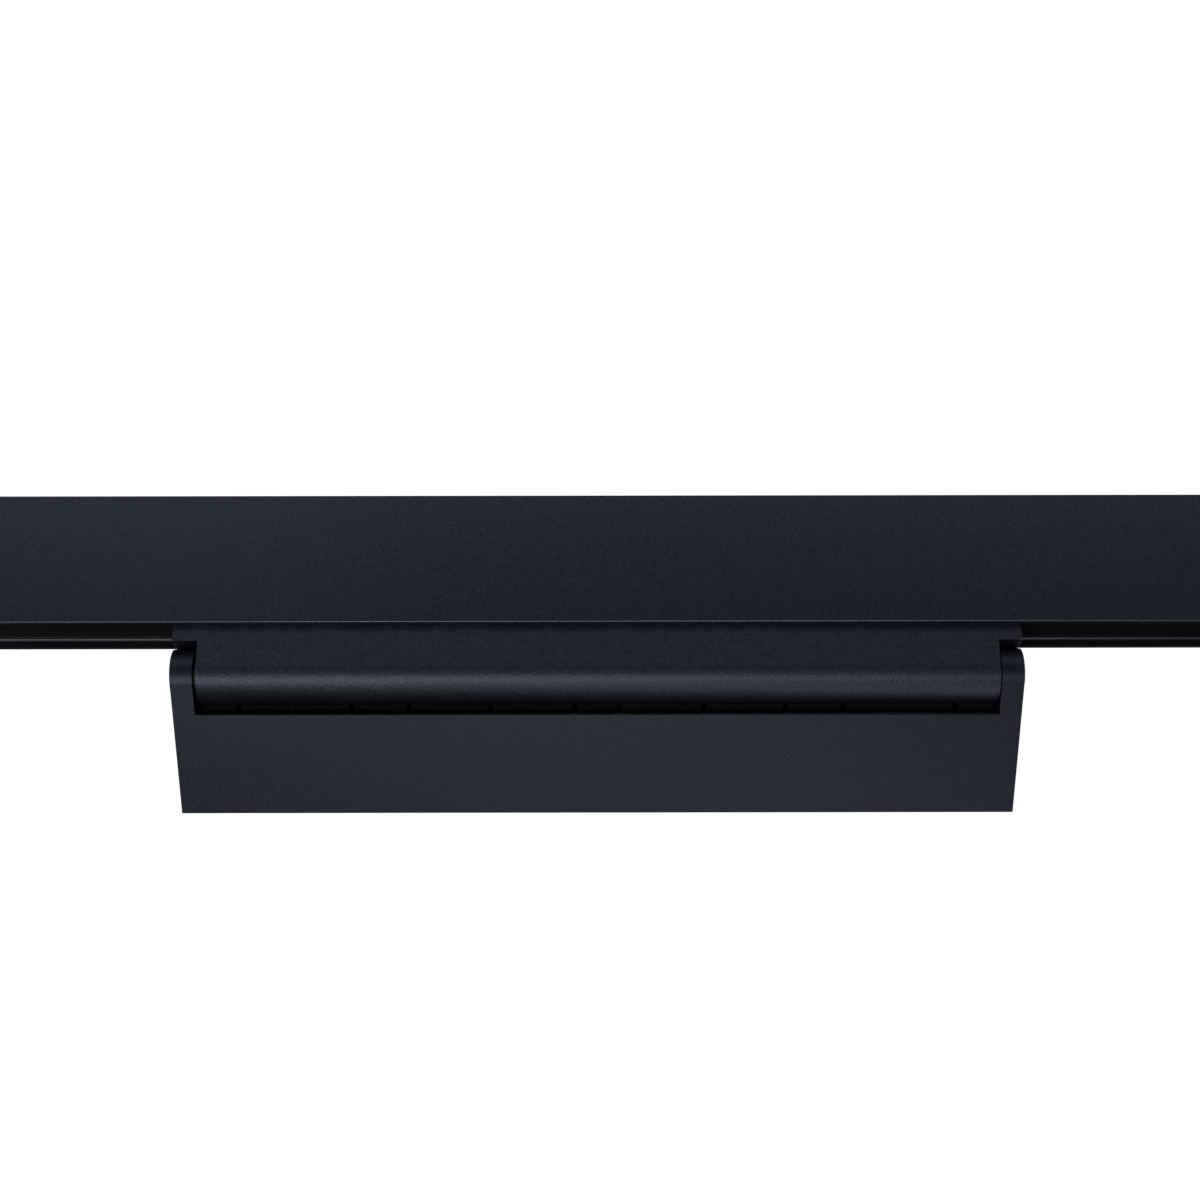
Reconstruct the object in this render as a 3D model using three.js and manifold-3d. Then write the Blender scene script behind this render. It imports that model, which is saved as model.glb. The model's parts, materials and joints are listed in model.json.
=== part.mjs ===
// A tilting linear LED luminaire held by magnets in a surface-mounted 48 V track.
// Millimetres. The track runs along X, +Z is up, +Y is the side that the head is tilted to,
// and the origin is the centre of the track's flat top face, which fits against a ceiling.

import * as THREE from 'three';
import { mergeVertices } from 'three/addons/utils/BufferGeometryUtils.js';
import Module from 'manifold-3d';

const wasm = await Module();
wasm.setup();

// ---------------------------------------------------------------- driving dimensions

const CLEARANCE = 0.2;

// Track profile
const RAIL_LENGTH = 600;
const RAIL_WIDTH = 26;
const RAIL_HEIGHT = 52;
const RAIL_WALL = 1.6;
const RAIL_WEB = 2.4;
const SLOT_WIDTH = 21;
const LIP_HEIGHT = 3.8;
const LIP_RIDGE = 0.35;
const LIP_RECESS = { depth: 0.4, height: 2.7 };
const CORNER_DEPTH = 7;
const CORNER_REACH = 8.4;
const STRIP_SLOT = { halfWidth: 7.4, height: 2, lipReach: 6.2, lipHeight: 1 };
const CAP_SCREW = { y: 10.2, z: -4.2 };
const MOUNTING_HOLES = [-230, -80, 80, 230];
const MOUNTING_HOLE_RADIUS = 2.3;
const MOUNTING_HEAD_RADIUS = 4.6;
const STEEL_STRIP = { start: -255, end: 297, sideGap: 0.3, thickness: 1.5 };
const END_CAP_THICKNESS = 2.5;
const CAP_TONGUE = { reach: 4, halfWidth: 9.9, bottom: -50.5, top: -35.4 };

// Insulators and conductors
const INSULATOR = { back: 11.2, face: 8.3, skirtFace: 10.75, skirtTop: -33.4 };
const GROOVE_LEVELS = [-17, -27];
const GROOVE = { depth: 1.6, height: 3 };
const CONDUCTOR = { inner: 9.3, thickness: 0.5, height: 2.4, endGap: 2 };

// Feed at the left end
const FEED = { start: -295.8, end: -262, entryX: -278, entryRadius: 4, wellBottom: -22 };
const FEED_NECK = { halfWidth: 7.5, bottom: -34 };
const FEED_BASE = { halfWidth: 9.9, bottom: -48, top: -33.8 };
const FEED_BLADE = { offset: 8, halfLength: 1.8, root: 5.4, shoulder: 8.2, tip: 9.15 };

// Adapter, the part that sits in the track
const BODY_WIDTH = 20.6;
const BODY_LENGTH = 316;
const HOUSING_TOP = -36;
const FLANGE_BOTTOM = -58.2;
const PIVOT_Z = -68.7;
const KNUCKLE_RADIUS = BODY_WIDTH / 2;
const KNUCKLE_LEFT = -148.4;
const KNUCKLE_RIGHT = 149.2;
const HINGE_BORE_RADIUS = 6.5;
const CAVITY = { halfLength: 146, halfWidth: 8.7, ledge: -51, ledgeHalfWidth: 7, floor: -56 };
const LEAD_PORT = { start: -122, end: -102, halfWidth: 2.5 };
const NECK = { halfLength: 145, halfWidth: 7.5, top: -6, wall: 1.2, base: -33.8 };
const MAGNET = { length: 40, width: 11, height: 6, top: -4.4 };
const MAGNET_X = [-118, -66, 66, 118];
const COVER_SCREW_X = 152;
const COVER_SCREW = { length: 7, shankRadius: 1.1, headRadius: 2.1, headHeight: 1.4, socketRadius: 0.75 };

// Sprung contacts
const CONTACT_BLOCK = { halfLength: 22, halfWidth: 6, top: -12.5, bottom: -31.5 };
const CONTACT_X = 12;
const PIN = { tip: 9.1, tipRadius: 0.75, collarRadius: 1.2, collarBack: 4.9, collarFront: 6 };
const SPRING = { wireRadius: 0.18, coilRadius: 0.95, start: 1.3, end: 4.5, turns: 3.5 };

// Driver
const BOARD = { start: -96, end: 142, halfWidth: 8.2, bottom: -50.8, thickness: 1.2 };
const BOARD_TOP = BOARD.bottom + BOARD.thickness + 0.1;
const LEAD_RADIUS = 0.6;
const LEAD_JOINT_X = -130;

// Hinge
const HEAD_TILT = 40;
const EAR_INNER = 149.7;
const EAR_OUTER = 156;
const PIN_BORE_RADIUS = 4.15;
const HINGE_PIN = { radius: 4, headRadius: 5.5, headThickness: 1.6, depth: 14, hollow: 1.6 };
const BUSH_LENGTH = 15;

// Head, drawn hanging straight down with the pivot as its origin
const HEAD_THICKNESS = BODY_WIDTH;
const HEAD_TOP = -11.45;
const HEAD_END = -51.1;
const HEAD_WALL = 1.6;
const EAR_FOOT = -16;
const HEAT_WEB = { top: -27, bottom: -31 };
const FIN = { thickness: 1.2, top: -18.5, spacing: 4.2 };
const END_SCREW = { y: 5, z: -29 };
const APERTURE_HALF = 7.8;
const APERTURE_LIP = 1;
const END_PLATE_THICKNESS = 1.9;
const INSERT = { top: -10.85, bottom: -15.9, front: -1, halfLength: 149 };
const INSERT_NOTCH = { width: 1.9, depth: 3.9 };
const INSERT_SEAM = { width: 0.4, depth: 0.6 };
const INSERT_NOTCHES = [8.3, 40.2, 71.1, 92.6, 134.9];
const INSERT_SEAMS = [29.8, 81.8, 113.6];
const LED = { count: 24, pitch: 12.1, size: 3, height: 0.8, boardHalfLength: 147 };
const REFLECTOR = { neck: 3.4, shoulder: 4, mouth: 7.4, rim: 8.4, window: 2, endGap: 1.5 };
const LEAD_NOTCH = { end: -146, halfWidth: 3.2 };

// Curve resolution
const FINE = 36;
const ROUND = 20;
const SMALL = 12;

// ---------------------------------------------------------------- materials

function material(colour, roughness, metalness) {
  return new THREE.MeshStandardMaterial({ color: colour, roughness, metalness });
}

const anodised = material(0x252b35, 0.45, 0.7);
const powderCoat = material(0x23272f, 0.65, 0.2);
const blackPlastic = material(0x121110, 0.6, 0);
const brownPlastic = material(0x1a1512, 0.55, 0);
const copper = material(0xb5703c, 0.35, 1);
const brass = material(0xb59a55, 0.35, 1);
const steel = material(0x8d9094, 0.4, 1);
const nickel = material(0xb9bbbd, 0.25, 1);
const darkScrew = material(0x1b1d21, 0.45, 0.8);
const rubber = material(0x161616, 0.85, 0);
const boardGreen = material(0x1d4a32, 0.5, 0);
const boardWhite = material(0xe9e9e4, 0.5, 0);
const whitePlastic = material(0xf0f0ec, 0.5, 0);
const opal = material(0xf4f3ee, 0.4, 0);
const ferrite = material(0x2b2c2e, 0.7, 0);
const sleeve = material(0x20242c, 0.5, 0);
const leadRed = material(0x8c1f1b, 0.5, 0);

// ---------------------------------------------------------------- solids

function solid(geometry) {
  const bare = geometry.clone();
  bare.deleteAttribute('normal');
  bare.deleteAttribute('uv');
  const merged = mergeVertices(bare, 1e-4);
  const vertProperties = new Float32Array(merged.attributes.position.array);
  const triVerts = new Uint32Array(merged.index.array);
  return new wasm.Manifold(new wasm.Mesh({ numProp: 3, vertProperties, triVerts }));
}

function fromSolid(body) {
  const mesh = body.getMesh();
  const geometry = new THREE.BufferGeometry();
  const positions = new Float32Array(mesh.vertProperties);
  geometry.setAttribute('position', new THREE.BufferAttribute(positions, 3));
  geometry.setIndex(new THREE.BufferAttribute(new Uint32Array(mesh.triVerts), 1));
  return geometry;
}

function join(...geometries) {
  return fromSolid(geometries.map(solid).reduce((sum, piece) => sum.add(piece)));
}

function cut(geometry, ...tools) {
  const whole = tools.map(solid).reduce((rest, tool) => rest.subtract(tool), solid(geometry));
  return fromSolid(whole);
}

function box([x0, x1], [y0, y1], [z0, z1]) {
  const geometry = new THREE.BoxGeometry(x1 - x0, y1 - y0, z1 - z0);
  return geometry.translate((x0 + x1) / 2, (y0 + y1) / 2, (z0 + z1) / 2);
}

// A section drawn in (y, z), drawn out along X from x0 to x1.
const SECTION_TO_X = new THREE.Matrix4().makeBasis(
  new THREE.Vector3(0, 1, 0),
  new THREE.Vector3(0, 0, 1),
  new THREE.Vector3(1, 0, 0),
);

function drawn(section, x0, x1) {
  const settings = { depth: x1 - x0, bevelEnabled: false, curveSegments: FINE };
  const geometry = new THREE.ExtrudeGeometry(section, settings);
  return geometry.applyMatrix4(SECTION_TO_X).translate(x0, 0, 0);
}

// A closed outline, turned anticlockwise so that holes cut in it face the right way.
function outline(points) {
  const corners = points.map(([y, z]) => new THREE.Vector2(y, z));
  if (THREE.ShapeUtils.isClockWise(corners)) corners.reverse();
  return new THREE.Shape(corners);
}

// The +Y half of an outline, completed by its mirror image. No point lies on the centre line.
function symmetric(half) {
  const other = half.map(([y, z]) => [-y, z]).reverse();
  return outline([...half, ...other]);
}

function rodX(radius, x0, x1, y = 0, z = 0, sides = ROUND) {
  const geometry = new THREE.CylinderGeometry(radius, radius, x1 - x0, sides);
  return geometry.rotateZ(-Math.PI / 2).translate((x0 + x1) / 2, y, z);
}

function rodY(radius, y0, y1, x = 0, z = 0, sides = SMALL) {
  const geometry = new THREE.CylinderGeometry(radius, radius, y1 - y0, sides);
  return geometry.translate(x, (y0 + y1) / 2, z);
}

function rodZ(radius, z0, z1, x = 0, y = 0, sides = ROUND) {
  const geometry = new THREE.CylinderGeometry(radius, radius, z1 - z0, sides);
  return geometry.rotateX(Math.PI / 2).translate(x, y, (z0 + z1) / 2);
}

// A turned shape: pairs of (radius, distance) along +X from x = 0.
function turnedX(profile, sides = ROUND) {
  const points = profile.map(([radius, along]) => new THREE.Vector2(radius, along));
  return new THREE.LatheGeometry(points, sides).rotateZ(-Math.PI / 2);
}

function ringX(inner, outer, x0, x1, sides = ROUND) {
  const profile = [[inner, 0], [outer, 0], [outer, x1 - x0], [inner, x1 - x0], [inner, 0]];
  return turnedX(profile, sides).translate(x0, 0, 0);
}

function circlePath(y, z, radius) {
  const path = new THREE.Path();
  for (let i = 0; i < SMALL; i += 1) {
    const angle = (-2 * Math.PI * i) / SMALL;
    const point = [y + radius * Math.cos(angle), z + radius * Math.sin(angle)];
    if (i === 0) path.moveTo(...point);
    else path.lineTo(...point);
  }
  return path;
}

function named(name, geometry, finish, parent) {
  const mesh = new THREE.Mesh(geometry, finish);
  mesh.name = name;
  parent.add(mesh);
  return mesh;
}

// A countersunk socket screw whose head is flush at x = 0 and whose shank points along -X.
const FLAT_SCREW = { headRadius: 2.1, edge: 0.25, taper: 1.3, shankRadius: 0.95 };
const SOCKET = { radius: 0.8, depth: 0.8 };

function flatScrew(length) {
  const { headRadius, edge, taper, shankRadius } = FLAT_SCREW;
  const body = turnedX([
    [0, -length],
    [shankRadius, -length],
    [shankRadius, -taper],
    [headRadius, -edge],
    [headRadius, 0],
    [0, 0],
  ], 16);
  return cut(body, rodX(SOCKET.radius, -SOCKET.depth, 1, 0, 0, 6));
}

// The seat that a flat screw needs, cut through a plate whose outer face is at x = 0.
function flatScrewSeat(depth) {
  const { headRadius, edge, taper, shankRadius } = FLAT_SCREW;
  const gap = 0.15;
  return turnedX([
    [0, -depth],
    [shankRadius + gap, -depth],
    [shankRadius + gap, -taper - gap],
    [headRadius + gap, -edge - gap],
    [headRadius + gap, 1],
    [0, 1],
  ], 16);
}

// Turns a piece made for the +X end round to face the end named by side, at x = side * reach.
function atEnd(geometry, side, reach, y, z) {
  if (side < 0) geometry.rotateZ(Math.PI);
  return geometry.translate(side * reach, y, z);
}

const SIDES = [['left', -1], ['right', 1]];
const FACES = [['front', -1], ['rear', 1]];

// ---------------------------------------------------------------- track

function railSection() {
  const half = RAIL_WIDTH / 2;
  const inner = half - RAIL_WALL;
  const lip = SLOT_WIDTH / 2;
  const recessed = lip + LIP_RECESS.depth;
  const { halfWidth, height, lipReach, lipHeight } = STRIP_SLOT;
  const hookTop = -RAIL_WEB - height;
  const section = symmetric([
    [half, 0],
    [half, -RAIL_HEIGHT],
    [recessed, -RAIL_HEIGHT],
    [recessed, -RAIL_HEIGHT + LIP_RECESS.height],
    [lip, -RAIL_HEIGHT + LIP_HEIGHT - LIP_RIDGE],
    [lip, -RAIL_HEIGHT + LIP_HEIGHT],
    [inner, -RAIL_HEIGHT + LIP_HEIGHT],
    [inner, -CORNER_DEPTH],
    [CORNER_REACH, -CORNER_DEPTH],
    [CORNER_REACH, hookTop - lipHeight],
    [lipReach, hookTop - lipHeight],
    [lipReach, hookTop],
    [halfWidth, hookTop],
    [halfWidth, -RAIL_WEB],
  ]);
  for (const side of [-1, 1]) {
    section.holes.push(circlePath(side * CAP_SCREW.y, CAP_SCREW.z, FLAT_SCREW.shankRadius + 0.15));
  }
  return section;
}

function railProfile() {
  const holes = MOUNTING_HOLES.map((x) => rodZ(MOUNTING_HOLE_RADIUS, -RAIL_WEB - 1, 1, x, 0, 16));
  const entry = rodZ(FEED.entryRadius, -RAIL_WEB - 1, 1, FEED.entryX, 0, 16);
  const profile = drawn(railSection(), -RAIL_LENGTH / 2, RAIL_LENGTH / 2);
  return cut(profile, ...holes, entry);
}

function steelStrip() {
  const { start, end, sideGap, thickness } = STEEL_STRIP;
  const top = -RAIL_WEB - CLEARANCE;
  const halfWidth = STRIP_SLOT.halfWidth - sideGap;
  const strip = box([start, end], [-halfWidth, halfWidth], [top - thickness, top]);
  const holes = MOUNTING_HOLES.map((x) => rodZ(MOUNTING_HEAD_RADIUS, top - 3, top + 1, x, 0, 16));
  return cut(strip, ...holes);
}

function insulatorSection(side) {
  const { back, face, skirtFace, skirtTop } = INSULATOR;
  const top = -CORNER_DEPTH - CLEARANCE;
  const bottom = -RAIL_HEIGHT + LIP_HEIGHT + CLEARANCE;
  const grooves = GROOVE_LEVELS.toReversed().flatMap((level) => [
    [face, level - GROOVE.height / 2],
    [face + GROOVE.depth, level - GROOVE.height / 2],
    [face + GROOVE.depth, level + GROOVE.height / 2],
    [face, level + GROOVE.height / 2],
  ]);
  const points = [
    [back, top],
    [back, bottom],
    [skirtFace, bottom],
    [skirtFace, skirtTop],
    [face, skirtTop],
    ...grooves,
    [face, top],
  ];
  return outline(points.map(([y, z]) => [side * y, z]));
}

function conductor(side, level) {
  const reach = RAIL_LENGTH / 2 - CONDUCTOR.endGap;
  const near = side * CONDUCTOR.inner;
  const far = side * (CONDUCTOR.inner + CONDUCTOR.thickness);
  const across = [Math.min(near, far), Math.max(near, far)];
  const up = [level - CONDUCTOR.height / 2, level + CONDUCTOR.height / 2];
  return box([-reach, reach], across, up);
}

function endCap(side) {
  const half = RAIL_WIDTH / 2;
  const inside = RAIL_LENGTH / 2 + 0.1;
  const plate = box([0, END_CAP_THICKNESS], [-half, half], [-RAIL_HEIGHT, 0]);
  const { reach, halfWidth, bottom, top } = CAP_TONGUE;
  const tongue = box([-reach, 1], [-halfWidth, halfWidth], [bottom, top]);
  const seats = [-1, 1].map((row) => flatScrewSeat(5)
    .translate(END_CAP_THICKNESS, row * CAP_SCREW.y, CAP_SCREW.z));
  return atEnd(cut(join(plate, tongue), ...seats), side, inside, 0, 0);
}

function feedContactX(index) {
  return FEED.entryX + (index === 0 ? -FEED_BLADE.offset : FEED_BLADE.offset);
}

function feedBlock() {
  const { start, end, entryX, entryRadius, wellBottom } = FEED;
  const neckAcross = [-FEED_NECK.halfWidth, FEED_NECK.halfWidth];
  const baseAcross = [-FEED_BASE.halfWidth, FEED_BASE.halfWidth];
  const neck = box([start, end], neckAcross, [FEED_NECK.bottom, NECK.top]);
  const base = box([start, end], baseAcross, [FEED_BASE.bottom, FEED_BASE.top]);
  const wireWell = rodZ(entryRadius - 1, wellBottom, NECK.top + 1, entryX, 0, 16);
  const room = FEED_BLADE.halfLength + 0.4;
  const pockets = GROOVE_LEVELS.map((level, i) => {
    const x = feedContactX(i);
    return box([x - room, x + room], [-FEED_NECK.halfWidth - 1, CLEARANCE - FEED_BLADE.root],
      [level - 1.5, level + 1.5]);
  });
  return cut(join(neck, base), wireWell, ...pockets);
}

// A brass blade that reaches from the feed block across to its conductor.
function feedContact(index) {
  const { halfLength, root, shoulder, tip } = FEED_BLADE;
  const x = feedContactX(index);
  const blade = outline([
    [-root, -1.1],
    [-root, 1.1],
    [-shoulder, 1.1],
    [-tip, 0.5],
    [-tip, -0.5],
    [-shoulder, -1.1],
  ]);
  return drawn(blade, x - halfLength, x + halfLength).translate(0, 0, GROOVE_LEVELS[index]);
}

function feedGrommet() {
  const outer = FEED.entryRadius - 0.15;
  const ring = [[2.2, -RAIL_WEB], [outer, -RAIL_WEB], [outer, -0.1], [2.6, -0.1], [2.2, -RAIL_WEB]];
  const points = ring.map(([radius, z]) => new THREE.Vector2(radius, z));
  return new THREE.LatheGeometry(points, 16).rotateX(Math.PI / 2).translate(FEED.entryX, 0, 0);
}

function buildTrack() {
  const track = new THREE.Group();
  const half = RAIL_LENGTH / 2;
  named('rail_profile', railProfile(), anodised, track);
  named('steel_strip', steelStrip(), steel, track);
  for (const [face, side] of FACES) {
    named(`insulator_${face}`, drawn(insulatorSection(side), -half, half), brownPlastic, track);
    named(`conductor_${face}_upper`, conductor(side, GROOVE_LEVELS[0]), copper, track);
    named(`conductor_${face}_lower`, conductor(side, GROOVE_LEVELS[1]), copper, track);
  }
  for (const [end, side] of SIDES) {
    named(`end_cap_${end}`, endCap(side), powderCoat, track);
    for (const [face, row] of FACES) {
      const reach = half + 0.1 + END_CAP_THICKNESS;
      const screw = atEnd(flatScrew(10), side, reach, row * CAP_SCREW.y, CAP_SCREW.z);
      named(`end_cap_screw_${end}_${face}`, screw, darkScrew, track);
    }
  }
  named('feed_block', feedBlock(), blackPlastic, track);
  named('feed_contact_plus', feedContact(0), brass, track);
  named('feed_contact_minus', feedContact(1), brass, track);
  named('feed_grommet', feedGrommet(), rubber, track);
  return track;
}

// ---------------------------------------------------------------- adapter

function knuckleSection() {
  const section = new THREE.Shape();
  section.moveTo(-KNUCKLE_RADIUS, FLANGE_BOTTOM + 2);
  section.lineTo(-KNUCKLE_RADIUS, PIVOT_Z);
  section.absarc(0, PIVOT_Z, KNUCKLE_RADIUS, Math.PI, 2 * Math.PI, false);
  section.lineTo(KNUCKLE_RADIUS, FLANGE_BOTTOM + 2);
  section.closePath();
  return section;
}

function adapterHousing() {
  const half = BODY_WIDTH / 2;
  const ends = BODY_LENGTH / 2;
  const { halfLength, halfWidth, ledge, ledgeHalfWidth, floor } = CAVITY;
  const flange = box([-ends, ends], [-half, half], [FLANGE_BOTTOM, HOUSING_TOP]);
  const knuckle = drawn(knuckleSection(), KNUCKLE_LEFT, KNUCKLE_RIGHT);
  const upper = box([-halfLength, halfLength], [-halfWidth, halfWidth], [ledge, HOUSING_TOP + 1]);
  const lower = box([-halfLength, halfLength], [-ledgeHalfWidth, ledgeHalfWidth], [floor, ledge + 1]);
  const bore = rodX(HINGE_BORE_RADIUS, -ends - 1, ends + 1, 0, PIVOT_Z);
  const port = box([LEAD_PORT.start, LEAD_PORT.end], [-LEAD_PORT.halfWidth, LEAD_PORT.halfWidth],
    [PIVOT_Z, floor + 1]);
  const screwHoles = [-1, 1].map((side) => rodZ(COVER_SCREW.shankRadius + 0.1, HOUSING_TOP - 8,
    HOUSING_TOP + 1, side * COVER_SCREW_X, 0, SMALL));
  return cut(join(flange, knuckle), upper, lower, bore, port, ...screwHoles);
}

function adapterCover() {
  const { halfLength, halfWidth, top, wall, base } = NECK;
  const plateBottom = HOUSING_TOP + CLEARANCE;
  const ends = BODY_LENGTH / 2 - 0.3;
  const plate = box([-ends, ends], [-9.8, 9.8], [plateBottom, base]);
  const neck = box([-halfLength, halfLength], [-halfWidth, halfWidth], [base - 1, top]);
  const hollow = box([-halfLength + wall, halfLength - wall], [-halfWidth + wall, halfWidth - wall],
    [plateBottom - 1, MAGNET.top - MAGNET.height - 1.5]);
  const roomAboveBlock = box([-25, 25], [-halfWidth + wall, halfWidth - wall],
    [plateBottom - 1, CONTACT_BLOCK.top + 0.2]);
  const pocketWidth = MAGNET.width / 2 + 0.15;
  const pockets = MAGNET_X.map((x) => box(
    [x - MAGNET.length / 2 - 0.15, x + MAGNET.length / 2 + 0.15],
    [-pocketWidth, pocketWidth],
    [MAGNET.top - MAGNET.height - 0.2, top + 1],
  ));
  const pinHoles = GROOVE_LEVELS.flatMap((level, i) => [-1, 1].map((side) => {
    const x = i === 0 ? -CONTACT_X : CONTACT_X;
    return rodY(PIN.tipRadius + 0.2, side < 0 ? -9 : 5, side < 0 ? -5 : 9, x, level);
  }));
  const screwHoles = [-1, 1].map((side) => rodZ(COVER_SCREW.shankRadius + 0.3, plateBottom - 1,
    base + 1, side * COVER_SCREW_X, 0, SMALL));
  return cut(join(plate, neck), hollow, roomAboveBlock, ...pockets, ...pinHoles, ...screwHoles);
}

function coverScrew(side) {
  const { length, shankRadius, headRadius, headHeight, socketRadius } = COVER_SCREW;
  const profile = [
    [0, -length],
    [shankRadius, -length],
    [shankRadius, 0],
    [headRadius, 0],
    [headRadius, headHeight - 0.5],
    [headRadius - 0.6, headHeight],
    [0, headHeight],
  ];
  const points = profile.map(([radius, z]) => new THREE.Vector2(radius, z));
  const body = new THREE.LatheGeometry(points, SMALL).rotateX(Math.PI / 2);
  const socket = rodZ(socketRadius, headHeight - 0.9, headHeight + 1, 0, 0, 6);
  return cut(body, socket).translate(side * COVER_SCREW_X, 0, NECK.base + 0.1);
}

function magnet(x) {
  const halfWidth = MAGNET.width / 2;
  return box([x - MAGNET.length / 2, x + MAGNET.length / 2], [-halfWidth, halfWidth],
    [MAGNET.top - MAGNET.height, MAGNET.top]);
}

function contactPlaces() {
  return GROOVE_LEVELS.flatMap((level, i) => FACES.map(([face, side]) => ({
    name: `${face}_${i === 0 ? 'upper' : 'lower'}`,
    side,
    level,
    x: i === 0 ? -CONTACT_X : CONTACT_X,
  })));
}

function contactBlock() {
  const { halfLength, halfWidth, top, bottom } = CONTACT_BLOCK;
  const block = box([-halfLength, halfLength], [-halfWidth, halfWidth], [bottom, top]);
  const bores = contactPlaces().map(({ side, level, x }) => rodY(PIN.collarRadius + 0.2,
    side < 0 ? -7 : 1, side < 0 ? -1 : 7, x, level));
  return cut(block, ...bores);
}

function alongY(geometry, side, x, level) {
  if (side < 0) geometry.rotateZ(Math.PI);
  return geometry.translate(x, 0, level);
}

function contactPin({ side, level, x }) {
  const { tip, tipRadius, collarRadius, collarBack, collarFront } = PIN;
  const profile = [
    [0, collarBack],
    [collarRadius, collarBack],
    [collarRadius, collarFront],
    [tipRadius, collarFront],
    [tipRadius, tip - 0.45],
    [0.4, tip],
    [0, tip],
  ];
  const points = profile.map(([radius, y]) => new THREE.Vector2(radius, y));
  return alongY(new THREE.LatheGeometry(points, SMALL), side, x, level);
}

class Coil extends THREE.Curve {
  getPoint(t) {
    const angle = 2 * Math.PI * SPRING.turns * t;
    const along = THREE.MathUtils.lerp(SPRING.start, SPRING.end, t);
    return new THREE.Vector3(
      SPRING.coilRadius * Math.cos(angle), along, SPRING.coilRadius * Math.sin(angle));
  }
}

function disc(radius, sides) {
  const points = [];
  for (let i = 0; i < sides; i += 1) {
    const angle = (2 * Math.PI * i) / sides;
    points.push([radius * Math.cos(angle), radius * Math.sin(angle)]);
  }
  return outline(points);
}

function contactSpring({ side, level, x }) {
  const steps = Math.round(SPRING.turns * 8);
  const settings = { steps, extrudePath: new Coil(), bevelEnabled: false };
  const wire = new THREE.ExtrudeGeometry(disc(SPRING.wireRadius, 5), settings);
  return alongY(wire, side, x, level);
}

function driverBoard() {
  const { start, end, halfWidth, bottom, thickness } = BOARD;
  return box([start, end], [-halfWidth, halfWidth], [bottom, bottom + thickness]);
}

// A lead through points (x, z), all in the plane y = 0.
function lead(points, steps) {
  const knots = points.map(([x, z]) => new THREE.Vector3(x, 0, z));
  const path = new THREE.CatmullRomCurve3(knots, false, 'centripetal');
  const settings = { steps, extrudePath: path, bevelEnabled: false };
  return new THREE.ExtrudeGeometry(disc(LEAD_RADIUS, 6), settings);
}

// From the output terminal, down through the port, to the hinge axis.
function adapterLead() {
  return lead([
    [-88.3, BOARD_TOP + 4],
    [-95, BOARD_TOP + 4],
    [-106, BOARD_TOP - 1],
    [-111, CAVITY.floor - 2],
    [-114.5, PIVOT_Z + 4],
    [-120, PIVOT_Z + 0.3],
    [-125, PIVOT_Z],
    [LEAD_JOINT_X + 0.15, PIVOT_Z],
  ], 20);
}

function outputTerminal() {
  return box([-88, -74], [-5, 5], [BOARD_TOP, BOARD_TOP + 8]);
}

function hingeBush(side) {
  const end = side < 0 ? KNUCKLE_LEFT : KNUCKLE_RIGHT;
  const x0 = side < 0 ? end : end - BUSH_LENGTH;
  return ringX(PIN_BORE_RADIUS + 0.1, HINGE_BORE_RADIUS - 0.15, x0, x0 + BUSH_LENGTH);
}

function buildAdapter() {
  const adapter = new THREE.Group();
  named('adapter_housing', adapterHousing(), powderCoat, adapter);
  named('adapter_cover', adapterCover(), blackPlastic, adapter);
  for (const [end, side] of SIDES) {
    named(`cover_screw_${end}`, coverScrew(side), darkScrew, adapter);
    const bush = named(`hinge_bush_${end}`, hingeBush(side), brass, adapter);
    bush.position.z = PIVOT_Z;
  }
  MAGNET_X.forEach((x, i) => named(`magnet_${i + 1}`, magnet(x), nickel, adapter));
  named('contact_block', contactBlock(), blackPlastic, adapter);
  for (const place of contactPlaces()) {
    named(`contact_pin_${place.name}`, contactPin(place), brass, adapter);
    named(`contact_spring_${place.name}`, contactSpring(place), steel, adapter);
  }
  named('driver_board', driverBoard(), boardGreen, adapter);
  named('driver_inductor', rodZ(6, BOARD_TOP, BOARD_TOP + 7, 40, 0, 16), ferrite, adapter);
  named('driver_capacitor', rodX(4, 62, 78, 0, BOARD_TOP + 4.1, 16), sleeve, adapter);
  named('output_terminal', outputTerminal(), whitePlastic, adapter);
  named('adapter_lead', adapterLead(), leadRed, adapter);
  return adapter;
}

// ---------------------------------------------------------------- head

function headWallSection() {
  const half = HEAD_THICKNESS / 2;
  const inner = half - HEAD_WALL;
  const middle = FIN.thickness / 2;
  const lipTop = HEAD_END + APERTURE_LIP;
  const finRow = FIN.spacing;
  const section = symmetric([
    [middle, FIN.top],
    [middle, HEAT_WEB.top],
    [finRow - middle, HEAT_WEB.top],
    [finRow - middle, FIN.top],
    [finRow + middle, FIN.top],
    [finRow + middle, HEAT_WEB.top],
    [inner, HEAT_WEB.top],
    [inner, HEAD_TOP],
    [half - 0.4, HEAD_TOP],
    [half, HEAD_TOP - 0.4],
    [half, HEAD_END],
    [APERTURE_HALF, HEAD_END],
    [APERTURE_HALF, lipTop],
    [inner, lipTop],
    [inner, HEAT_WEB.bottom],
  ]);
  for (const row of [-1, 1]) {
    section.holes.push(circlePath(row * END_SCREW.y, END_SCREW.z, FLAT_SCREW.shankRadius + 0.15));
  }
  return section;
}

// The rounded outline that the ears and end plates share, down to the level foot.
function earSection(foot) {
  const half = HEAD_THICKNESS / 2;
  const section = new THREE.Shape();
  section.moveTo(-half, foot);
  section.lineTo(half, foot);
  section.absarc(0, 0, half, 0, Math.PI, false);
  section.closePath();
  return section;
}

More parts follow.
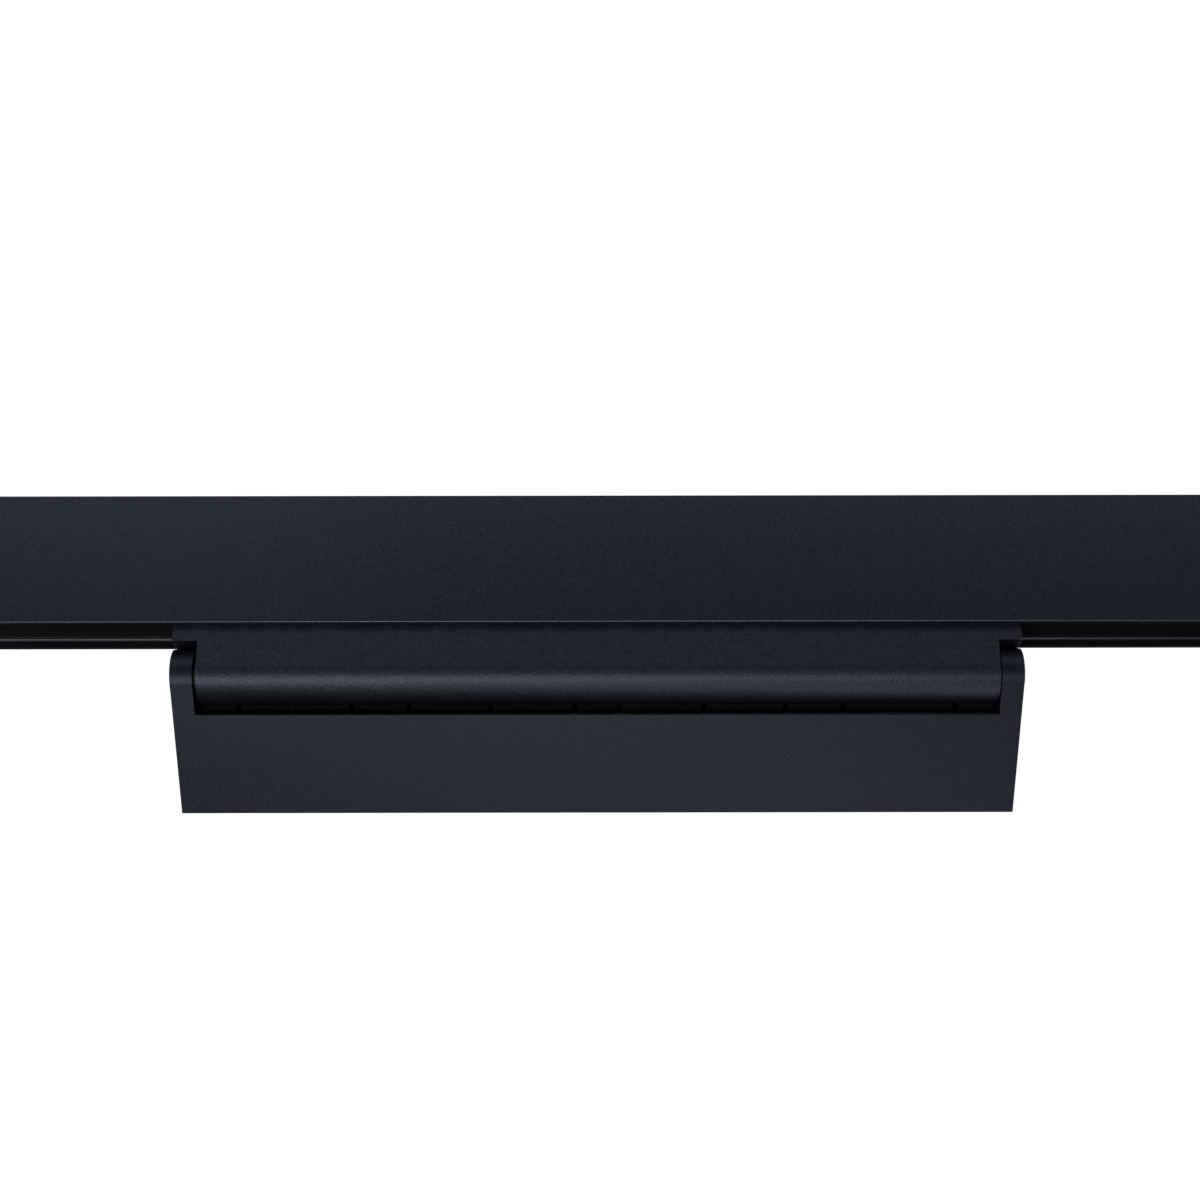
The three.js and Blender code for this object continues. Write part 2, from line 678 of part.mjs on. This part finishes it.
function headHousing() {
  const walls = drawn(headWallSection(), -EAR_OUTER, EAR_OUTER);
  const ears = [-1, 1].map((side) => {
    const x0 = side < 0 ? -EAR_OUTER : EAR_INNER;
    return drawn(earSection(EAR_FOOT), x0, x0 + EAR_OUTER - EAR_INNER);
  });
  const bore = rodX(PIN_BORE_RADIUS, -EAR_OUTER - 1, EAR_OUTER + 1);
  const counterbores = [-1, 1].map((side) => {
    const depth = HINGE_PIN.headThickness + 0.2;
    return atEnd(rodX(HINGE_PIN.headRadius + 0.2, -depth, 1), side, EAR_OUTER, 0, 0);
  });
  const leadChannel = box([-EAR_OUTER - 1, -EAR_OUTER + 1.8], [-1.5, 1.5], [EAR_FOOT - 1, 0]);
  const leadNotch = box([-EAR_OUTER - 1, LEAD_NOTCH.end], [-LEAD_NOTCH.halfWidth, LEAD_NOTCH.halfWidth],
    [HEAT_WEB.bottom - 1, FIN.top + 1]);
  return cut(join(walls, ...ears), bore, ...counterbores, leadChannel, leadNotch);
}

// From the hinge axis, out through the hollow pin, down behind the end plate, to the LED board.
function headLead() {
  const down = -EAR_OUTER + 0.8;
  const level = HEAT_WEB.bottom - 0.85;
  return lead([
    [LEAD_JOINT_X - 0.15, 0],
    [-146, 0],
    [-EAR_OUTER + 2.4, 0],
    [down + 0.4, -0.45],
    [down, -1.6],
    [down, -5],
    [down, -22],
    [down + 0.2, level + 3],
    [down + 1.6, level + 0.4],
    [down + 4, level],
    [-LED.boardHalfLength - 0.3, level],
  ], 34);
}

// A row of upright blocks behind the hinge barrel, parted by notches, with a fine seam in between.
function hingeInsert() {
  const { top, bottom, front, halfLength } = INSERT;
  const back = HEAD_THICKNESS / 2 - HEAD_WALL - 0.15;
  const row = box([-halfLength, halfLength], [front, back], [bottom, top]);
  const notches = INSERT_NOTCHES.flatMap((x) => [-x, x]).map((x) => box(
    [x - INSERT_NOTCH.width / 2, x + INSERT_NOTCH.width / 2],
    [front - 1, back + 1],
    [top - INSERT_NOTCH.depth, top + 1],
  ));
  const seams = [0, ...INSERT_SEAMS.flatMap((x) => [-x, x])].map((x) => box(
    [x - INSERT_SEAM.width / 2, x + INSERT_SEAM.width / 2],
    [front - 1, front + INSERT_SEAM.depth],
    [bottom - 1, top + 1],
  ));
  return cut(row, ...notches, ...seams);
}

function endPlate(side) {
  const plate = drawn(earSection(HEAD_END), 0, END_PLATE_THICKNESS);
  const seats = [-1, 1].map((row) => flatScrewSeat(4)
    .translate(END_PLATE_THICKNESS, row * END_SCREW.y, END_SCREW.z));
  return atEnd(cut(plate, ...seats), side, EAR_OUTER + 0.1, 0, 0);
}

// The pin's head is at +X, its shaft points inwards along -X from the ear's outer face.
function hingePin(side) {
  const { radius, headRadius, headThickness, depth, hollow } = HINGE_PIN;
  const inward = EAR_OUTER - EAR_INNER + depth;
  const profile = [
    [hollow, -inward],
    [radius, -inward],
    [radius, -headThickness],
    [headRadius, -headThickness],
    [headRadius, 0],
    [hollow, 0],
    [hollow, -inward],
  ];
  const slot = box([-headThickness + 0.2, 1], [-1, 1], [-headRadius - 1, 0.05]);
  return atEnd(cut(turnedX(profile), slot), side, EAR_OUTER - 0.1, 0, 0);
}

function ledBoard() {
  const top = HEAT_WEB.bottom - 0.1;
  const thickness = 1.5;
  const ends = LED.boardHalfLength;
  const board = box([-ends, ends], [-7.6, 7.6], [top - thickness, top]);
  const start = -((LED.count - 1) * LED.pitch) / 2;
  const chips = Array.from({ length: LED.count }, (_, i) => {
    const x = start + i * LED.pitch;
    const half = LED.size / 2;
    const bottom = top - thickness - LED.height;
    return box([x - half, x + half], [-half, half], [bottom, top - 0.5]);
  });
  return join(board, ...chips);
}

function reflector() {
  const top = HEAT_WEB.bottom - 1.5 - 0.3;
  const bottom = HEAD_END + APERTURE_LIP + 2.5;
  const { neck, shoulder, mouth, rim, window, endGap } = REFLECTOR;
  const section = symmetric([
    [shoulder, top],
    [rim, bottom],
    [mouth, bottom],
    [neck, top - 1],
  ]);
  const ends = EAR_INNER - endGap;
  const trough = drawn(section, -ends, ends);
  const row = box([window - ends, ends - window], [-window, window], [top - 2, top + 1]);
  return cut(trough, row);
}

function diffuser() {
  const bottom = HEAD_END + APERTURE_LIP + 0.15;
  const half = HEAD_THICKNESS / 2 - HEAD_WALL - 0.15;
  return box([-EAR_OUTER + 0.1, EAR_OUTER - 0.1], [-half, half], [bottom, bottom + 2]);
}

function buildHead() {
  const head = new THREE.Group();
  named('head_housing', headHousing(), powderCoat, head);
  named('hinge_insert', hingeInsert(), blackPlastic, head);
  for (const [end, side] of SIDES) {
    named(`end_plate_${end}`, endPlate(side), powderCoat, head);
    for (const [face, row] of FACES) {
      const reach = EAR_OUTER + 0.1 + END_PLATE_THICKNESS;
      const screw = atEnd(flatScrew(8), side, reach, row * END_SCREW.y, END_SCREW.z);
      named(`end_plate_screw_${end}_${face}`, screw, darkScrew, head);
    }
    named(`hinge_pin_${end}`, hingePin(side), steel, head);
  }
  named('spring_washer', ringX(4.3, 8, -EAR_INNER + 0.15, KNUCKLE_LEFT - 0.15), steel, head);
  named('friction_washer', ringX(4.3, 8, KNUCKLE_RIGHT + 0.1, EAR_INNER - 0.1), brownPlastic, head);
  named('led_board', ledBoard(), boardWhite, head);
  named('reflector', reflector(), whitePlastic, head);
  named('diffuser', diffuser(), opal, head);
  named('head_lead', headLead(), leadRed, head);
  return head;
}

// ---------------------------------------------------------------- assembly

const luminaire = new THREE.Group();
luminaire.add(buildTrack());
luminaire.add(buildAdapter());

const head = buildHead();
head.position.z = PIVOT_Z;
head.rotation.x = THREE.MathUtils.degToRad(HEAD_TILT);
luminaire.add(head);

export default luminaire;
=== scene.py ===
"""A tilting linear luminaire, held by magnets in a surface-mounted track, dressed around its CAD part."""

import json
import math

import bmesh
import bpy
from mathutils import Matrix, Vector

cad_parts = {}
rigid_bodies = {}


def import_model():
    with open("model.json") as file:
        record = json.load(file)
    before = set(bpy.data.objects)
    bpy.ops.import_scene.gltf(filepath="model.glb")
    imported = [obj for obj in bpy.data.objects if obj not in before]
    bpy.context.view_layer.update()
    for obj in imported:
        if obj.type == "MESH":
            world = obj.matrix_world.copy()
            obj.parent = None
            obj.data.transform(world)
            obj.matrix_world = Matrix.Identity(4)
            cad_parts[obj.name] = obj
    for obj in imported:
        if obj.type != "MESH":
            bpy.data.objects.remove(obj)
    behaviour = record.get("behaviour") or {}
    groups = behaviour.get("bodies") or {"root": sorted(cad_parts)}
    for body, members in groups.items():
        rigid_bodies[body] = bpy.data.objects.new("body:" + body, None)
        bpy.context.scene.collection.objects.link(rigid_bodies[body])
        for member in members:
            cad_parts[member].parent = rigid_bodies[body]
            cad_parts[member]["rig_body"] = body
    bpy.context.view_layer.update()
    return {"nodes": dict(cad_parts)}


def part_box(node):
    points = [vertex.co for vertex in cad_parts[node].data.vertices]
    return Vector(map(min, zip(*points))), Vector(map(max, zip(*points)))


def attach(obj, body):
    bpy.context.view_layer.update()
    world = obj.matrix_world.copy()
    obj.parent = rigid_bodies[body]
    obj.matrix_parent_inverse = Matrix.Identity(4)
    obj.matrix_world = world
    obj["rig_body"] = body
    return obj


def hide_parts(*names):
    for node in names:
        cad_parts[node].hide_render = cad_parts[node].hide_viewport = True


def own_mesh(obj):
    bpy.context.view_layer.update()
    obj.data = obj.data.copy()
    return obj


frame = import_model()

MM = 0.001


# ---------------------------------------------------------------- camera

FOCAL_LENGTH = 53.25
SENSOR_WIDTH = 36.0
CAMERA_PLACE = (0.001, -0.61876, -0.31796)
CAMERA_PITCH = 17.774
CAMERA_ROLL = -0.09
FRAME_SHIFT = 0.1715
NEAREST_SEEN = 0.01


def make_camera():
    data = bpy.data.cameras.new("studio_camera")
    data.lens = FOCAL_LENGTH
    data.sensor_width = SENSOR_WIDTH
    data.shift_y = FRAME_SHIFT
    data.clip_start = NEAREST_SEEN
    camera = bpy.data.objects.new("studio_camera", data)
    bpy.context.scene.collection.objects.link(camera)
    pitch = Matrix.Rotation(math.radians(90 + CAMERA_PITCH), 4, "X")
    roll = Matrix.Rotation(math.radians(CAMERA_ROLL), 4, "Z")
    camera.matrix_world = Matrix.Translation(CAMERA_PLACE) @ pitch @ roll
    bpy.context.scene.camera = camera


# ---------------------------------------------------------------- finishes

NOISE_LOW = 0.3
NOISE_HIGH = 0.7
GRAIN_DETAIL = 3.0
PATCH_DETAIL = 2.0
ROUGHNESS_SPREAD = 0.05
EVEN = (1, 1, 1)
ALONG = (0.01, 1, 1)
COOL = (0.62, 0.74, 1.0, 1.0)
FINISHES = {}


def noise(tree, coordinates, stretch, scale, detail):
    """A noise texture in the piece's own metres, stretched along each axis."""
    mapping = tree.nodes.new("ShaderNodeMapping")
    mapping.inputs["Scale"].default_value = stretch
    tree.links.new(coordinates, mapping.inputs["Vector"])
    texture = tree.nodes.new("ShaderNodeTexNoise")
    texture.inputs["Scale"].default_value = scale
    texture.inputs["Detail"].default_value = detail
    tree.links.new(mapping.outputs["Vector"], texture.inputs["Vector"])
    return texture.outputs["Fac"]


def spread(tree, value, low, high):
    """The middle of a noise value, taken to the range from low to high."""
    node = tree.nodes.new("ShaderNodeMapRange")
    node.inputs["From Min"].default_value = NOISE_LOW
    node.inputs["From Max"].default_value = NOISE_HIGH
    node.inputs["To Min"].default_value = low
    node.inputs["To Max"].default_value = high
    tree.links.new(value, node.inputs["Value"])
    return node.outputs["Result"]


def average(tree, first, second):
    """Half of one value added to half of another."""
    halved = tree.nodes.new("ShaderNodeMath")
    halved.operation = "MULTIPLY"
    halved.inputs[1].default_value = 0.5
    tree.links.new(second, halved.inputs[0])
    both = tree.nodes.new("ShaderNodeMath")
    both.operation = "MULTIPLY_ADD"
    both.inputs[1].default_value = 0.5
    tree.links.new(first, both.inputs[0])
    tree.links.new(halved.outputs[0], both.inputs[2])
    return both.outputs[0]


def finish(name, colour, roughness, metallic=0.0, grain=1500.0, depth=0.03, stretch=EVEN,
           tint=0.12, patch=25.0, specular=0.5, specular_tint=None):
    """A procedural finish, kept in FINISHES under its name.

    Its colour varies by tint, over grain and patch features per metre. The grain is depth
    millimetres high.
    """
    material = bpy.data.materials.new(name)
    material.use_nodes = True
    tree = material.node_tree
    shader = tree.nodes["Principled BSDF"]
    coordinates = tree.nodes.new("ShaderNodeTexCoord").outputs["Object"]
    fine = noise(tree, coordinates, stretch, grain, GRAIN_DETAIL)
    broad = noise(tree, coordinates, stretch, patch, PATCH_DETAIL)

    mix = tree.nodes.new("ShaderNodeMix")
    mix.data_type = "RGBA"
    mix.inputs["A"].default_value = (*[c * (1 - tint) for c in colour], 1)
    mix.inputs["B"].default_value = (*[c * (1 + tint) for c in colour], 1)
    tree.links.new(spread(tree, average(tree, fine, broad), 0.0, 1.0), mix.inputs["Factor"])
    tree.links.new(mix.outputs["Result"], shader.inputs["Base Color"])

    rough = spread(tree, fine, roughness - ROUGHNESS_SPREAD, roughness + ROUGHNESS_SPREAD)
    tree.links.new(rough, shader.inputs["Roughness"])
    bump = tree.nodes.new("ShaderNodeBump")
    bump.inputs["Strength"].default_value = 1.0
    bump.inputs["Distance"].default_value = depth * MM
    tree.links.new(fine, bump.inputs["Height"])
    tree.links.new(bump.outputs["Normal"], shader.inputs["Normal"])

    shader.inputs["Metallic"].default_value = metallic
    shader.inputs["Specular IOR Level"].default_value = specular
    if specular_tint:
        shader.inputs["Specular Tint"].default_value = specular_tint
    FINISHES[name] = material


def coat(name, colour, roughness, grain, depth, tint, patch, specular=0.5):
    """A dark metallic coat with a cool sheen and an even, fine grain."""
    finish(name, colour, roughness, 0.85, grain, depth, tint=tint, patch=patch,
           specular=specular, specular_tint=COOL)


def metal(name, colour, roughness, grain, depth, stretch=EVEN):
    finish(name, colour, roughness, 1.0, grain, depth, stretch)


def plastic(name, colour, roughness, grain, depth, **more):
    finish(name, colour, roughness, 0.0, grain, depth, **more)


coat("anodised_rail", (0.028, 0.0365, 0.053), 0.28, 1500, 0.005, 0.20, 2200.0)
coat("powder_coat", (0.0252, 0.030, 0.041), 0.42, 1000, 0.14, 0.30, 1500.0)
# Near black, darker than a black plastic's own colour: the plastic's real black with painted shade added,
# for the hinge insert seen deep in its slot.
plastic("black_plastic", (0.0022, 0.0026, 0.0036), 0.7, 900, 0.02, specular=0.1)
plastic("brown_plastic", (0.0046, 0.0047, 0.0060), 0.4, 500, 0.03, stretch=ALONG, specular=0.3)
metal("copper", (0.62, 0.28, 0.14), 0.3, 1500, 0.01, ALONG)
metal("brass", (0.55, 0.38, 0.14), 0.3, 1500, 0.01)
metal("steel", (0.42, 0.43, 0.45), 0.35, 1200, 0.01)
metal("nickel", (0.55, 0.54, 0.52), 0.22, 1200, 0.005)
finish("dark_screw", (0.022, 0.023, 0.026), 0.38, 0.7, 1500, 0.01)
plastic("rubber", (0.012, 0.012, 0.012), 0.75, 900, 0.03)
plastic("board_green", (0.012, 0.075, 0.035), 0.4, 700, 0.01)
plastic("board_white", (0.75, 0.75, 0.72), 0.4, 700, 0.01)
plastic("white_plastic", (0.72, 0.72, 0.69), 0.45, 700, 0.015, tint=0.04)
plastic("opal", (0.80, 0.79, 0.75), 0.42, 500, 0.01, tint=0.03)
plastic("ferrite", (0.025, 0.025, 0.027), 0.65, 900, 0.03)
plastic("sleeve", (0.012, 0.018, 0.035), 0.35, 500, 0.01)
plastic("lead_red", (0.30, 0.02, 0.015), 0.4, 700, 0.01)
# Painted shade: the head's housing and end plates get a darker copy of the powder coat.
coat("head_coat_painted_shade", (0.0166, 0.0202, 0.0280), 0.42, 1400, 0.02, 0.32, 2000.0, 0.34)
# Painted highlights: a brighter, glossier finish than the rail's, for the thin bright lines along the
# track's ridges and its front bottom corner.
finish("ridge_painted_highlight", (0.030, 0.036, 0.050), 0.25, 0.5, 900, 0.005, ALONG, 0.2)
finish("front_corner_painted_highlight", (0.085, 0.095, 0.12), 0.3, 0.8, 900, 0.005, ALONG, 0.3)
# Painted shade: the hinge bushes, seen in the gap beside the knuckle, get a near-black bronze instead of
# bright brass.
finish("dark_bush_painted_shade", (0.035, 0.026, 0.018), 0.55, 0.7, 1200, 0.02)
SLOT_OF = {node: obj.data.materials[0].name for node, obj in frame["nodes"].items()}


# ---------------------------------------------------------------- pieces

SAME_PLACE = 0.002
FLAT = math.radians(0.4)
HARD_EDGE = math.radians(25)
SHARP_EDGE = math.radians(50)
BEVEL_STEPS = 2


def bare_mesh(node):
    """A CAD node's solid as a bmesh with shared corners and whole flat faces."""
    source = frame["nodes"][node].data
    solid = bmesh.new()
    corners = [solid.verts.new(v.co) for v in source.vertices]
    for polygon in source.polygons:
        solid.faces.new([corners[i] for i in polygon.vertices])
    bmesh.ops.remove_doubles(solid, verts=solid.verts, dist=SAME_PLACE * MM)
    bmesh.ops.dissolve_limit(solid, angle_limit=FLAT, verts=solid.verts, edges=solid.edges)
    return solid


def place(name, solid, node, slot=None):
    """Turns a bmesh into a smooth-shaded piece that stands for a CAD node and rides on its body."""
    bmesh.ops.recalc_face_normals(solid, faces=solid.faces)
    mesh = bpy.data.meshes.new(name)
    solid.to_mesh(mesh)
    solid.free()
    mesh.shade_smooth()
    mesh.set_sharp_from_angle(angle=SHARP_EDGE)
    piece = bpy.data.objects.new(name, mesh)
    bpy.context.scene.collection.objects.link(piece)
    weighted = piece.modifiers.new("flat_faces", "WEIGHTED_NORMAL")
    weighted.keep_sharp = True
    slot = slot or SLOT_OF[node]
    mesh.materials.append(FINISHES[slot])
    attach(piece, frame["nodes"][node]["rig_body"])
    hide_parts(node)
    return piece


def none_sharp(middle):
    return False


def hard_edges(solid, shortest, left_sharp):
    """The hard edges that are longer than shortest, apart from those whose middle is left sharp."""
    return [
        e for e in solid.edges
        if len(e.link_faces) == 2
        and e.calc_face_angle(0) > HARD_EDGE
        and e.calc_length() > shortest * MM
        and not left_sharp((e.verts[0].co + e.verts[1].co) / 2 / MM)
    ]


def bevel(solid, edges, radius):
    bmesh.ops.bevel(solid, geom=edges, offset=radius * MM, segments=BEVEL_STEPS, profile=0.5,
                    affect="EDGES", clamp_overlap=False, loop_slide=True)


def rounded(node, radius, shortest, left_sharp=none_sharp):
    """A CAD node with its hard edges rounded by radius."""
    solid = bare_mesh(node)
    bevel(solid, hard_edges(solid, shortest, left_sharp), radius)
    return place(f"{node}_dressed", solid, node)


# ---------------------------------------------------------------- track

RAIL_EDGE = 0.3
RAIL_LENGTHWISE = 20.0
LIP_RECESSED = 10.9
RIDGE_TOP = 47.0
CORNER_TOP = 51.5


def rail_finish(face):
    """What a face of the track profile shows: black on the recessed lips and the rear bottom corner, and
    a painted highlight, a brighter and glossier finish than the rail's, on the ridges and the front
    bottom corner.
    """
    across = abs(face.normal.y)
    recessed = abs(abs(face.center.y) - LIP_RECESSED * MM) < 0.01 * MM
    tilted = 0.1 < across < 0.99 and abs(face.normal.x) < 0.01
    if recessed and across > 0.99:
        return "black_plastic"
    # The front bottom corner gets a painted highlight, and the ridges above it get one too.
    if tilted and face.center.z < -CORNER_TOP * MM:
        return "front_corner_painted_highlight" if face.center.y < 0 else "black_plastic"
    if tilted and face.center.z < -RIDGE_TOP * MM:
        return "ridge_painted_highlight"
    return "anodised_rail"


def rail(node):
    """The track profile, with fine rounded edges along its length."""
    piece = rounded(node, RAIL_EDGE, RAIL_LENGTHWISE)
    shown = ["anodised_rail", "black_plastic", "ridge_painted_highlight", "front_corner_painted_highlight"]
    for name in shown[1:]:
        piece.data.materials.append(FINISHES[name])
    for face in piece.data.polygons:
        face.material_index = shown.index(rail_finish(face))


# ---------------------------------------------------------------- head

HEAD_EDGE = 0.3
HOUSING_SHORTEST = 0.7
PLATE_SHORTEST = 0.82
JOINT_PLANE = 156.05
JOINT_GAP = 0.1
HOUSING_END = 156.0


def at_end_joint(middle):
    """True on the plane where the head's housing meets its end plates."""
    return abs(abs(middle.x) - JOINT_PLANE) < JOINT_GAP


def head_housing():
    housing = rounded("head_housing", HEAD_EDGE, HOUSING_SHORTEST, at_end_joint)
    # The housing gets the darker coat: painted shade.
    housing.data.materials[0] = FINISHES["head_coat_painted_shade"]


def end_plate(node):
    """An end plate, pressed tight against the housing, so that no seam shows between the two."""
    solid = bare_mesh(node)
    for corner in solid.verts:
        if at_end_joint(corner.co / MM):
            corner.co.x = math.copysign(HOUSING_END * MM, corner.co.x)
    bevel(solid, hard_edges(solid, PLATE_SHORTEST, at_end_joint), HEAD_EDGE)
    plate = place(f"{node}_dressed", solid, node)
    # The end plate gets the darker coat: painted shade.
    plate.data.materials[0] = FINISHES["head_coat_painted_shade"]


WASHER_BORE = 0.56
WASHER_HALF_THICKNESS = 0.13
WASHER_WAVES = 3
WASHER_STEPS = 72


def wave_washer(node):
    """The spring washer as it is pressed: a thin ring with three waves."""
    low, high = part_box(node)
    centre = (low + high) / 2
    outer = (high.z - low.z) / 2
    inner = WASHER_BORE * outer
    half_thickness = WASHER_HALF_THICKNESS * MM
    wave = (high.x - low.x) / 2 - half_thickness
    section = [(inner, 1), (outer, 1), (outer, -1), (inner, -1)]
    solid = bmesh.new()
    rings = []
    for i in range(WASHER_STEPS):
        angle = 2 * math.pi * i / WASHER_STEPS
        x = centre.x + wave * math.sin(WASHER_WAVES * angle)
        rings.append([
            solid.verts.new((x + side * half_thickness,
                             centre.y + r * math.cos(angle), centre.z + r * math.sin(angle)))
            for r, side in section
        ])
    for a, b in zip(rings, rings[1:] + rings[:1]):
        for j in range(len(section)):
            k = (j + 1) % len(section)
            solid.faces.new([a[j], b[j], b[k], a[k]])
    # The washer sits in the gap beside the knuckle and gets the dark screw finish instead of steel:
    # painted shade.
    place(f"{node}_pressed", solid, node, "dark_screw")


# ---------------------------------------------------------------- contacts


def pressed_spring(contact):
    """A contact spring, as a smooth-shaded copy of its CAD solid with a mesh of its own."""
    node = f"contact_spring_{contact}"
    spring = place(f"{node}_dressed", bare_mesh(node), node)
    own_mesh(spring)


# ---------------------------------------------------------------- all pieces

# Edge radius, and the length of the shortest edge that is rounded.
ROUNDED = {
    "insulator_front": (0.2, 20.0),
    "insulator_rear": (0.2, 20.0),
    "end_cap_left": (0.4, 1.6),
    "end_cap_right": (0.4, 1.6),
    "adapter_housing": (0.2, 0.8),
    "adapter_cover": (0.25, 0.8),
    "hinge_insert": (0.15, 0.5),
    "diffuser": (0.3, 0.5),
}
SMALL_ROUNDED = ("feed_grommet", "driver_capacitor", "driver_inductor")
SMALL_EDGE = (0.06, 0.1)

rail("rail_profile")
for part, edges in ROUNDED.items():
    rounded(part, *edges)
head_housing()
end_plate("end_plate_left")
end_plate("end_plate_right")
for part in frame["nodes"]:
    if "screw" in part or part in SMALL_ROUNDED:
        rounded(part, *SMALL_EDGE)
wave_washer("spring_washer")
for level in ("upper", "lower"):
    pressed_spring(f"front_{level}")
    pressed_spring(f"rear_{level}")

# Each CAD part keeps its own finish, except the hinge bushes, which get the near-black bronze: painted
# shade in the hinge gap.
for part, obj in frame["nodes"].items():
    obj.data.materials[0] = FINISHES["dark_bush_painted_shade" if "bush" in part else SLOT_OF[part]]


# ---------------------------------------------------------------- studio

FLOOR_LEVEL = -2.0
FLOOR_SIZE = 12.0
FLOOR_SQUARES = 8
FLOOR_GLOW = (0.95, 0.96, 0.97, 1)
FLOOR_GLOW_STRENGTH = 0.86
FRONT_LIGHT = 0.13
BACK_LIGHT = 0.03
BACKDROP_LEVEL = 1.05
FRONT_DIRECTION = -0.95
BACK_DIRECTION = -0.45
WHITE = (1, 1, 1)
WARM = (1, 0.945, 0.91)


def make_floor():
    """A pale floor that shines by itself and gives no light to the object."""
    grid = bmesh.new()
    bmesh.ops.create_grid(grid, x_segments=FLOOR_SQUARES, y_segments=FLOOR_SQUARES,
                          size=FLOOR_SIZE / 2)
    mesh = bpy.data.meshes.new("studio_floor")
    grid.to_mesh(mesh)
    grid.free()
    floor = bpy.data.objects.new("studio_floor", mesh)
    floor.location.z = FLOOR_LEVEL
    plastic("studio_floor", (0.02, 0.02, 0.02), 0.8, 20, 0.1, tint=0.01, specular=0.0)
    paint = FINISHES["studio_floor"]
    shader = paint.node_tree.nodes["Principled BSDF"]
    shader.inputs["Emission Color"].default_value = FLOOR_GLOW
    shader.inputs["Emission Strength"].default_value = FLOOR_GLOW_STRENGTH
    mesh.materials.append(paint)
    floor.visible_diffuse = False
    floor.visible_glossy = False
    bpy.context.scene.collection.objects.link(floor)


def softbox(name, place_at, aim, size, watts, colour=WHITE):
    data = bpy.data.lights.new(name, "AREA")
    data.shape = "RECTANGLE"
    data.size, data.size_y = size
    data.energy = watts
    data.color = colour
    light = bpy.data.objects.new(name, data)
    light.location = place_at
    toward = Vector(aim) - Vector(place_at)
    light.rotation_euler = toward.to_track_quat("-Z", "Y").to_euler()
    light.visible_camera = False
    bpy.context.scene.collection.objects.link(light)


def make_world():
    """A pale surround: a white backdrop, and softer light that is dimmest from behind the object."""
    world = bpy.data.worlds.new("studio")
    bpy.context.scene.world = world
    world.use_nodes = True
    tree = world.node_tree
    direction = tree.nodes.new("ShaderNodeSeparateXYZ")
    generated = tree.nodes.new("ShaderNodeTexCoord").outputs["Generated"]
    tree.links.new(generated, direction.inputs["Vector"])
    light = tree.nodes.new("ShaderNodeMapRange")
    light.inputs["From Min"].default_value = FRONT_DIRECTION
    light.inputs["From Max"].default_value = BACK_DIRECTION
    light.inputs["To Min"].default_value = FRONT_LIGHT
    light.inputs["To Max"].default_value = BACK_LIGHT
    tree.links.new(direction.outputs["Y"], light.inputs["Value"])
    seen = tree.nodes.new("ShaderNodeLightPath").outputs["Is Camera Ray"]
    level = tree.nodes.new("ShaderNodeMapRange")
    level.inputs["To Max"].default_value = BACKDROP_LEVEL
    tree.links.new(seen, level.inputs["Value"])
    tree.links.new(light.outputs["Result"], level.inputs["To Min"])
    shade = tree.nodes["Background"]
    shade.inputs["Color"].default_value = (*WHITE, 1)
    tree.links.new(level.outputs["Result"], shade.inputs["Strength"])


make_camera()
make_floor()
make_world()
softbox("low_front", (-0.54, -0.95, -0.75), (-0.1, 0, -0.07), (2.2, 0.40), 14.0, WARM)
softbox("low_floor", (0.33, -0.20, -1.05), (0.1, 0, -0.08), (3.4, 0.5), 8.8)
softbox("high_front", (0.0, -0.95, 0.90), (0, 0, -0.03), (4.0, 0.6), 9.0)
softbox("high_left", (-1.05, -0.95, 0.90), (-0.1, 0, -0.03), (2.0, 0.6), 1.2)
softbox("back", (0.3, 1.5, 0.85), (0, 0, -0.05), (1.8, 0.9), 8.0)
for side, x in (("left", -1.4), ("right", 1.4)):
    softbox(f"rear_{side}", (x, 1.2, -0.45), (0, 0, -0.05), (1.0, 0.8), 8.0)

view = bpy.context.scene.view_settings
view.view_transform = "Standard"
view.look = "None"
